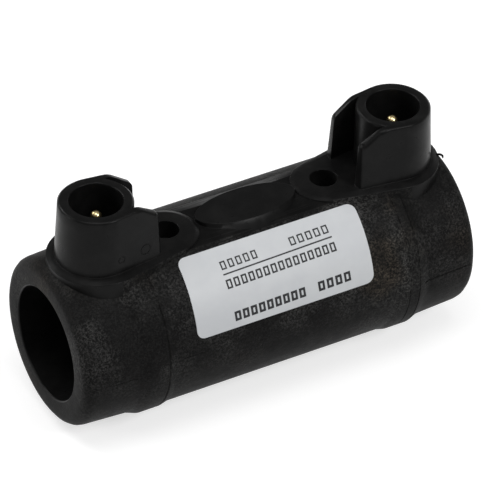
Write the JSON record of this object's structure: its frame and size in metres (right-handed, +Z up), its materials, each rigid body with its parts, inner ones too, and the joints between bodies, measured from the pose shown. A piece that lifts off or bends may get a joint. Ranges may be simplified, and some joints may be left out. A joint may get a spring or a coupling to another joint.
{
  "type": "electrofusion coupler",
  "caption": "Electrofusion pipe coupler with winged terminal shrouds on teardrop flanges, buried heating wire, stop ring and wrap-round label.",
  "frame": {"origin": "on the bore axis at mid-length, in the middle of the stop ring that both pipe ends reach", "axes": "+X along the bore towards the right mouth, +Z up through the terminals, -Y towards the side that carries the label"},
  "size_m": [0.0766, 0.0322, 0.0434],
  "materials": {
    "black_polyethylene": "semi-gloss, spark-eroded grain on the tube",
    "pin_brass": "turned, bright",
    "resistance_wire": "drawn",
    "label_film": "matt printed film"
  },
  "bodies": {
    "root": {"body": "black_polyethylene", "terminal_pin_left": "pin_brass", "terminal_pin_right": "pin_brass", "heating_wire": "resistance_wire", "label": "label_film"}
  },
  "joints": []
}
